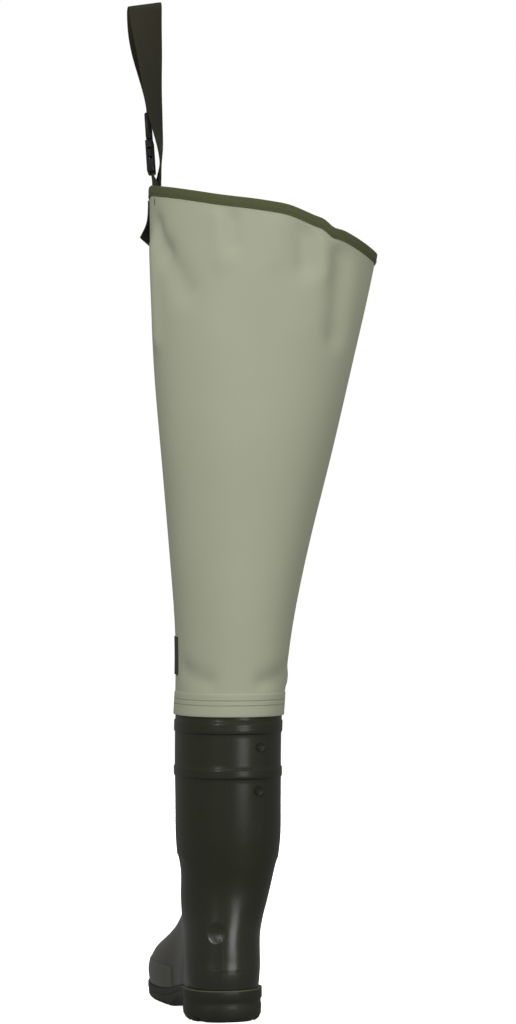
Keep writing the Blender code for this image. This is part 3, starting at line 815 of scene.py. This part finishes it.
class WaderColours(bpy.types.PropertyGroup):
    """Colours of the materials."""

    leg: FloatVectorProperty(
        name="Leg fabric", description="Coated fabric", subtype="COLOR", default=(0.305, 0.319, 0.231)
    )
    lining: FloatVectorProperty(
        name="Lining", description="Inside of the leg", subtype="COLOR", default=(0.20, 0.21, 0.155)
    )
    boot: FloatVectorProperty(
        name="Boot", description="Moulded PVC", subtype="COLOR", default=(0.0170, 0.0188, 0.0100)
    )
    # Toe: the colour of a painted warm reflection on the foot
    toe: FloatVectorProperty(
        name="Toe", description="Dusty toe", subtype="COLOR", default=(0.035, 0.0315, 0.0195)
    )
    # Guard: the colour of a painted warm reflection on the toe guard
    guard: FloatVectorProperty(
        name="Guard", description="Dusty toe guard", subtype="COLOR", default=(0.045, 0.045, 0.029)
    )
    boot_lining: FloatVectorProperty(
        name="Boot lining", description="Inside of the boot", subtype="COLOR", default=(0.05, 0.05, 0.045)
    )
    sole: FloatVectorProperty(
        name="Sole", description="Outsole PVC", subtype="COLOR", default=(0.0165, 0.0174, 0.0118)
    )
    insole: FloatVectorProperty(
        name="Insole", description="Felted liner", subtype="COLOR", default=(0.06, 0.06, 0.055)
    )
    binding: FloatVectorProperty(
        name="Binding", description="Tape on the collar", subtype="COLOR", default=(0.070, 0.079, 0.034)
    )
    thread: FloatVectorProperty(
        name="Thread", description="Stitches", subtype="COLOR", default=(0.055, 0.063, 0.025)
    )
    webbing: FloatVectorProperty(
        name="Webbing", description="Straps", subtype="COLOR", default=(0.023, 0.0213, 0.0118)
    )
    buckle: FloatVectorProperty(
        name="Buckle", description="Buckle plastic", subtype="COLOR", default=(0.008, 0.008, 0.008)
    )
    patch: FloatVectorProperty(
        name="Patch", description="Plain patch on the leg", subtype="COLOR", default=(0.03, 0.033, 0.022)
    )
    floor: FloatVectorProperty(
        name="Floor", description="Plain floor", subtype="COLOR", default=(0.86, 0.86, 0.86)
    )


class WaderForm(bpy.types.PropertyGroup):
    """Sizes of the reliefs and details that the looks add."""

    wear: FloatProperty(
        name="Wear", description="Amount of dust and rubbing", default=0.05, min=0.0, max=1.0
    )
    boot_roughness: FloatProperty(
        name="Boot roughness", description="Roughness of the PVC", default=0.3, min=0.0, max=1.0
    )
    fold_share: FloatProperty(
        name="Folds", description="Strength of the leg's folds", default=1.0, min=0.0, max=2.0
    )
    weld_upper: FloatProperty(
        name="Upper weld", description="Height of the hem's upper weld line", unit="LENGTH", default=0.3589
    )
    weld_lower: FloatProperty(
        name="Lower weld", description="Height of the hem's lower weld line", unit="LENGTH", default=0.3533
    )
    dimple_radius: FloatProperty(
        name="Dimple radius", description="Round hollow above the heel", unit="LENGTH", default=0.0122
    )
    dimple_depth: FloatProperty(
        name="Dimple depth", description="Depth of the round hollow", unit="LENGTH", default=0.0019
    )
    guard_step: FloatProperty(
        name="Toe guard", description="How far the toe guard stands out", unit="LENGTH", default=0.0011
    )
    stud_radius: FloatProperty(
        name="Stud radius", description="Round studs on the shaft", unit="LENGTH", default=0.0050
    )
    stud_height: FloatProperty(
        name="Stud height", description="How far the studs stand out", unit="LENGTH", default=0.0030
    )
    stitch_count: IntProperty(
        name="Stitches", description="Stitches round the binding", default=184, min=1
    )
    stitch_length: FloatProperty(
        name="Stitch length", description="Length of one stitch", unit="LENGTH", default=0.0027
    )
    stitch_thick: FloatProperty(
        name="Thread", description="Thickness of the thread", unit="LENGTH", default=0.0007
    )


class WaderStage(bpy.types.PropertyGroup):
    """Camera and light."""

    azimuth: FloatProperty(
        name="Azimuth", description="Camera's turn round it", subtype="ANGLE", default=math.radians(-12)
    )
    height: FloatProperty(
        name="Camera height", description="Height of the level camera", unit="LENGTH", default=0.57
    )
    distance: FloatProperty(
        name="Camera distance", description="From the middle of the heel", unit="LENGTH", default=4.0
    )
    view_height: FloatProperty(
        name="View height", description="Height of the view at the heel", unit="LENGTH", default=1.153
    )
    aside: FloatProperty(
        name="Aside", description="Camera's shift to the part's middle", unit="LENGTH", default=0.041
    )
    key: FloatProperty(name="Key light", description="Soft light at the left", unit="POWER", default=84.0)
    fill: FloatProperty(name="Fill light", description="Light at the right", unit="POWER", default=43.0)
    front: FloatProperty(name="Front light", description="Lights the far side", unit="POWER", default=60.0)
    top: FloatProperty(name="Top light", description="Soft light above", unit="POWER", default=15.0)
    strip: FloatProperty(name="Strip light", description="Mirrored in the heel", unit="POWER", default=6.0)
    spark: FloatProperty(name="Spark light", description="Small glints", unit="POWER", default=5.0)
    world: FloatProperty(name="World", description="Strength of the even light", default=0.15)
    glow: FloatProperty(name="Floor glow", description="Own light of the floor", default=0.9)


class WADER_OT_stage(bpy.types.Operator):
    """Adds the floor, the lights and the camera"""

    bl_idname = "wader.stage"
    bl_label = "Set the stage"

    def execute(self, context):
        stage = context.scene.wader_stage
        look = Vector((-math.sin(stage.azimuth), math.cos(stage.azimuth), 0.0))
        right = Vector((look.y, -look.x, 0.0))
        self.add_floor(context, stage)
        self.add_camera(context, stage, look, right)
        for name, target, (back, aside, up), size, mirrored in LIGHTS:
            face = Vector(target)
            place = face - look * back + right * aside + Vector((0.0, 0.0, up))
            self.add_light(context, f"{name} light", place, face, size, getattr(stage, name), mirrored)
        self.add_world(context, stage)
        context.scene.view_settings.view_transform = "Standard"
        return {"FINISHED"}

    def add_world(self, context, stage):
        """An even light from all sides, plain white where the camera sees it."""
        world = bpy.data.worlds.new("studio")
        world.use_nodes = True
        tree = world.node_tree
        even = tree.nodes["Background"]
        seen = tree.nodes.new("ShaderNodeBackground")
        for node, strength in ((even, stage.world), (seen, 1.0)):
            node.inputs["Color"].default_value = (1.0, 1.0, 1.0, 1.0)
            node.inputs["Strength"].default_value = strength
        mix = tree.nodes.new("ShaderNodeMixShader")
        ray = tree.nodes.new("ShaderNodeLightPath")
        tree.links.new(ray.outputs["Is Camera Ray"], mix.inputs[0])
        tree.links.new(even.outputs[0], mix.inputs[1])
        tree.links.new(seen.outputs[0], mix.inputs[2])
        tree.links.new(mix.outputs[0], tree.nodes["World Output"].inputs["Surface"])
        context.scene.world = world

    def add_floor(self, context, stage):
        """A wide plain floor."""
        bm = bmesh.new()
        bmesh.ops.create_grid(bm, x_segments=1, y_segments=1, size=FLOOR_HALF)
        mesh = mesh_from(bm, "floor")
        material, _, shader, _ = new_material("floor")
        colour = context.scene.wader_colours.floor
        shader.inputs["Base Color"].default_value = (*colour, 1.0)
        shader.inputs["Roughness"].default_value = 0.9
        shader.inputs["Emission Color"].default_value = (1.0, 1.0, 1.0, 1.0)
        shader.inputs["Emission Strength"].default_value = stage.glow
        mesh.materials.append(material)
        floor = bpy.data.objects.new("floor", mesh)
        floor.visible_glossy = False
        floor.visible_diffuse = False
        context.scene.collection.objects.link(floor)

    def add_camera(self, context, stage, look, right):
        """A level camera at the photo's angle."""
        data = bpy.data.cameras.new("camera")
        data.lens = data.sensor_width * stage.distance / stage.view_height
        camera = bpy.data.objects.new("camera", data)
        camera.location = right * stage.aside - look * stage.distance
        camera.location.z = stage.height
        camera.rotation_euler = (0.5 * math.pi, 0.0, stage.azimuth)
        context.scene.collection.objects.link(camera)
        context.scene.camera = camera

    def add_light(self, context, name, place, target, size, power, mirrored):
        """A rectangular soft light that faces a point, and may be mirrored in gloss."""
        data = bpy.data.lights.new(name, "AREA")
        data.shape = "RECTANGLE"
        data.size = size[0]
        data.size_y = size[1]
        data.energy = power
        light = bpy.data.objects.new(name, data)
        light.location = place
        light.rotation_euler = (target - place).to_track_quat("-Z", "Y").to_euler()
        light.visible_glossy = mirrored
        context.scene.collection.objects.link(light)


class WADER_OT_boot(bpy.types.Operator):
    """Finishes the moulded boot and its two studs"""

    bl_idname = "wader.boot"
    bl_label = "Finish the boot"

    def execute(self, context):
        colours = context.scene.wader_colours
        form = context.scene.wader_form
        pvc = boot_material(colours, form)
        lining = plain_material("boot lining", colours.boot_lining, rough=0.85, fine=900.0, depth=0.0002)
        bm = cad_copy("boot_upper")
        self.fade_panel(bm)
        crease_bends(bm, BOOT_BEND, weight=0.55)
        mesh = subdivided(bm, levels=2)
        self.refine_dimple(mesh)
        line_inside(mesh, bone_points)
        self.add_relief(mesh, form)
        add_piece(mesh, "boot_upper_look", [pvc, lining], ["boot_upper"])
        self.add_studs(form, pvc)
        return {"FINISHED"}

    def fade_panel(self, bm):
        """Turns the panel's edge across the back from a step into a slope."""
        bm.normal_update()
        points = np.array([vert.co for vert in bm.verts])
        normals = np.array([vert.normal for vert in bm.verts])
        out = looks_out(normals, points, bone_points)
        panel = PANEL_BACK + PANEL_RISE * points[:, 1] - points[:, 2]
        under = smooth_step(PANEL_FADE, 0.0, panel) - np.clip(1.0 - panel / PANEL_EDGE, 0.0, 1.0)
        turn = np.abs(np.degrees(from_middle(points)[1]))
        moved = PANEL_STEP * under * out * (1.0 - smooth_step(*PANEL_TURN, turn))
        for vert, normal, depth in zip(bm.verts, normals, moved):
            vert.co += Vector(normal * depth)
        bm.normal_update()

    def refine_dimple(self, mesh):
        """Splits the faces round the hollow above the heel."""
        bm = bmesh.new()
        bm.from_mesh(mesh)
        centre = Vector(DIMPLE)
        near = {vert for vert in bm.verts if (vert.co - centre).length < DIMPLE_REACH}
        edges = [edge for edge in bm.edges if near.issuperset(edge.verts)]
        bmesh.ops.subdivide_edges(bm, edges=edges, cuts=2, use_grid_fill=True)
        bm.to_mesh(mesh)
        bm.free()

    def add_relief(self, mesh, form):
        """Moves the outer face for the hollow above the heel and the toe guard."""
        points = vectors(mesh.vertices, "co")
        normals = vectors(mesh.vertex_normals, "vector")
        out = looks_out(normals, points, bone_points)
        from_dimple = np.linalg.norm(points - np.array(DIMPLE), axis=1)
        bowl = np.clip(1.0 - (from_dimple / form.dimple_radius) ** 2, 0.0, 1.0) ** DIMPLE_POWER
        guard = smooth_step(*GUARD_BACK, points[:, 1]) * smooth_step(*GUARD_TOP, points[:, 2])
        moved = form.guard_step * guard - form.dimple_depth * bowl
        points += normals * (moved * out)[:, None]
        points[normals[:, 2] < UNDERSIDE, 2] -= SOLE_OVERLAP
        set_points(mesh, points)

    def add_studs(self, form, material):
        """Round studs with a sunk middle on the back of the shaft."""
        tree = cad_tree("boot_upper")
        bm = bmesh.new()
        for angle, height in STUDS:
            point, normal = outer_hit(tree, math.radians(angle), height)
            turn = normal.to_track_quat("Z", "Y").to_matrix().to_4x4()
            place = Matrix.Translation(point + normal * (0.5 * form.stud_height - STUD_SINK)) @ turn
            made = bmesh.ops.create_cone(
                bm,
                cap_ends=True,
                segments=STUD_SIDES,
                radius1=form.stud_radius,
                radius2=form.stud_radius,
                depth=form.stud_height + STUD_SINK,
            )
            verts = made["verts"]
            top = max({face for vert in verts for face in vert.link_faces}, key=self.face_height)
            bmesh.ops.inset_region(bm, faces=[top], thickness=STUD_RIM * form.stud_radius)
            bmesh.ops.translate(bm, verts=top.verts, vec=(0.0, 0.0, -STUD_HOLLOW * form.stud_height))
            every = {vert for face in self.linked_faces(verts[0]) for vert in face.verts}
            bmesh.ops.transform(bm, matrix=place, verts=list(every))
        sharp = [edge for edge in bm.edges if edge.calc_face_angle(0.0) > BOOT_BEND]
        bmesh.ops.bevel(
            bm,
            geom=sharp,
            offset=STUD_ROUND * form.stud_height,
            affect="EDGES",
            segments=2,
            profile=0.5,
            material=-1,
        )
        add_piece(mesh_from(bm, "boot_studs"), "boot_studs", [material])

    def face_height(self, face):
        """Height of a face's centre."""
        return face.calc_center_median().z

    def linked_faces(self, vert):
        """Every face joined to a vertex through others."""
        found = set(vert.link_faces)
        grown = set(found)
        while grown:
            near = {other for face in grown for edge in face.edges for other in edge.link_faces}
            grown = near - found
            found |= near
        return found


class WADER_OT_sole(bpy.types.Operator):
    """Finishes the outsole and the insole"""

    bl_idname = "wader.sole"
    bl_label = "Finish the sole"

    def execute(self, context):
        colours = context.scene.wader_colours
        form = context.scene.wader_form
        rubber = sole_material(colours, form)
        mesh = mesh_from(cad_copy("outsole"), "outsole_look")
        sole = add_piece(mesh, "outsole_look", [rubber], ["outsole"])
        add_bevel(sole, width=0.0011, angle=SOLE_BEND)
        felt = plain_material("felt", colours.insole, rough=0.92, fine=700.0, depth=0.0003)
        bed = mesh_from(cad_copy("insole"), "insole_look")
        insole = add_piece(bed, "insole_look", [felt], ["insole"])
        add_bevel(insole, width=0.0009, angle=SOLE_BEND)
        return {"FINISHED"}


class WADER_OT_leg(bpy.types.Operator):
    """Finishes the fabric leg with its folds, and the patch low on its side"""

    bl_idname = "wader.leg"
    bl_label = "Finish the leg"

    def execute(self, context):
        colours = context.scene.wader_colours
        form = context.scene.wader_form
        fabric = leg_material(colours, form)
        lining = plain_material("leg lining", colours.lining, rough=0.85, fine=1200.0, depth=0.00015)
        bm = cad_copy("leg")
        crease_bends(bm, LEG_BEND, weight=0.75)
        mesh = subdivided(bm, levels=3)
        points = vectors(mesh.vertices, "co")
        out, angles = from_middle(points)
        out /= np.linalg.norm(out, axis=1)[:, None]
        below = collar_line(angles) - BINDING_HEIGHT - points[:, 2]
        above = points[:, 2] - HEM_TOP
        free = smooth_step(0.0, FOLD_START, below) * smooth_step(0.0, HEM_FADE, above)
        depth = form.fold_share * leg_fold_depths(points) * free
        points += out * depth[:, None]
        points[:, 2] += collar_wave(angles) * smooth_step(COLLAR_WAVE_REACH, 0.0, below)
        set_points(mesh, points)
        line_inside(mesh, shaft_middle)
        add_piece(mesh, "leg_look", [fabric, lining], ["leg"])
        patch = plain_material("patch", colours.patch, rough=0.5, fine=900.0, depth=0.0001)
        flat = mesh_from(cad_copy("side_patch"), "side_patch_look")
        piece = add_piece(flat, "side_patch_look", [patch], ["side_patch"])
        add_bevel(piece, width=0.00025, angle=PATCH_BEND)
        return {"FINISHED"}


class WADER_OT_collar(bpy.types.Operator):
    """Finishes the binding and sews it down"""

    bl_idname = "wader.collar"
    bl_label = "Finish the collar"

    def execute(self, context):
        colours = context.scene.wader_colours
        form = context.scene.wader_form
        tape = woven_material("binding tape", colours.binding, threads=700.0, depth=0.00015)
        bm = cad_copy("collar_binding")
        crease_bends(bm, BINDING_BEND, weight=0.35)
        mesh = subdivided(bm, levels=2)
        round_map(mesh)
        points = vectors(mesh.vertices, "co")
        points[:, 2] += collar_wave(from_middle(points)[1])
        set_points(mesh, points)
        add_piece(mesh, "collar_binding_look", [tape], ["collar_binding"])
        thread = thread_material("thread", colours.thread)
        bm = bmesh.new()
        tree = cad_tree("collar_binding")
        turns = np.linspace(0.0, math.tau, form.stitch_count, endpoint=False)
        heights = collar_line(turns) - BINDING_HEIGHT + STITCH_INSET
        for turn, height in zip(turns, heights):
            point, normal = outer_hit(tree, turn, height)
            point.z += float(collar_wave(np.array(turn)))
            along = Vector((-normal.y, normal.x, 0.0))
            add_stitch(bm, point, normal, along, form.stitch_length, form.stitch_thick)
        add_piece(mesh_from(bm, "collar_stitches"), "collar_stitches", [thread])
        return {"FINISHED"}


class WADER_OT_straps(bpy.types.Operator):
    """Finishes the webbing of the belt loop, its foot and the loose tail"""

    bl_idname = "wader.straps"
    bl_label = "Finish the straps"

    def execute(self, context):
        colours = context.scene.wader_colours
        form = context.scene.wader_form
        webbing = woven_material("webbing", colours.webbing, threads=450.0, depth=0.00025)
        for node in ("belt_strap", "strap_foot", "strap_tail"):
            bm = cad_copy(node)
            strap_map(bm)
            crease_bends(bm, STRAP_BEND, weight=0.85)
            mesh = subdivided(bm, levels=3)
            add_piece(mesh, f"{node}_look", [webbing], [node])
        self.add_tacks(form, colours)
        return {"FINISHED"}

    def add_tacks(self, form, colours):
        """Bars of close stitches on the leg where the belt loop is sewn in."""
        thread = thread_material("tack thread", scaled(colours.lining, TACK_SHADE))
        tree = cad_tree("leg")
        thick = TACK_THICK * form.stitch_thick
        spacing = TACK_SPACING * form.stitch_thick
        bm = bmesh.new()
        for angle, middle in TACKS:
            for height in np.arange(middle - TACK_HALF, middle + TACK_HALF, spacing):
                point, normal = outer_hit(tree, math.radians(angle), height)
                along = Vector((-normal.y, normal.x, 0.0))
                add_stitch(bm, point, normal, along, form.stitch_length, thick)
        add_piece(mesh_from(bm, "strap_tacks"), "strap_tacks", [thread])


class WADER_OT_buckle(bpy.types.Operator):
    """Finishes both halves of the buckle"""

    bl_idname = "wader.buckle"
    bl_label = "Finish the buckle"

    def execute(self, context):
        colours = context.scene.wader_colours
        plastic = plain_material("buckle plastic", colours.buckle, rough=0.36, fine=1100.0, depth=0.00005)
        for node in ("buckle_tongue", "buckle_socket"):
            mesh = mesh_from(cad_copy(node), f"{node}_look")
            piece = add_piece(mesh, f"{node}_look", [plastic], [node])
            add_bevel(piece, width=0.0007, angle=BUCKLE_BEND)
        return {"FINISHED"}


class WADER_PT_looks(bpy.types.Panel):
    """Settings and steps of the wader's looks"""

    bl_idname = "WADER_PT_looks"
    bl_label = "Hip wader"
    bl_space_type = "VIEW_3D"
    bl_region_type = "UI"
    bl_category = "Wader"

    def draw(self, context):
        scene = context.scene
        for group in (scene.wader_colours, scene.wader_form, scene.wader_stage):
            box = self.layout.box()
            for name in group.__annotations__:
                box.prop(group, name)
        for operator in OPERATORS:
            self.layout.operator(operator.bl_idname)


OPERATORS = (
    WADER_OT_stage,
    WADER_OT_boot,
    WADER_OT_sole,
    WADER_OT_leg,
    WADER_OT_collar,
    WADER_OT_straps,
    WADER_OT_buckle,
)
CLASSES = (WaderColours, WaderForm, WaderStage, *OPERATORS, WADER_PT_looks)


def register():
    """Registers the classes and their settings."""
    for item in CLASSES:
        bpy.utils.register_class(item)
    bpy.types.Scene.wader_colours = PointerProperty(type=WaderColours)
    bpy.types.Scene.wader_form = PointerProperty(type=WaderForm)
    bpy.types.Scene.wader_stage = PointerProperty(type=WaderStage)


def unregister():
    """Takes the settings and classes away again."""
    del bpy.types.Scene.wader_stage
    del bpy.types.Scene.wader_form
    del bpy.types.Scene.wader_colours
    for item in reversed(CLASSES):
        bpy.utils.unregister_class(item)


def main():
    """Runs every step in order."""
    register()
    bpy.ops.wader.stage()
    bpy.ops.wader.boot()
    bpy.ops.wader.sole()
    bpy.ops.wader.leg()
    bpy.ops.wader.collar()
    bpy.ops.wader.straps()
    bpy.ops.wader.buckle()


if __name__ == "__main__":
    main()
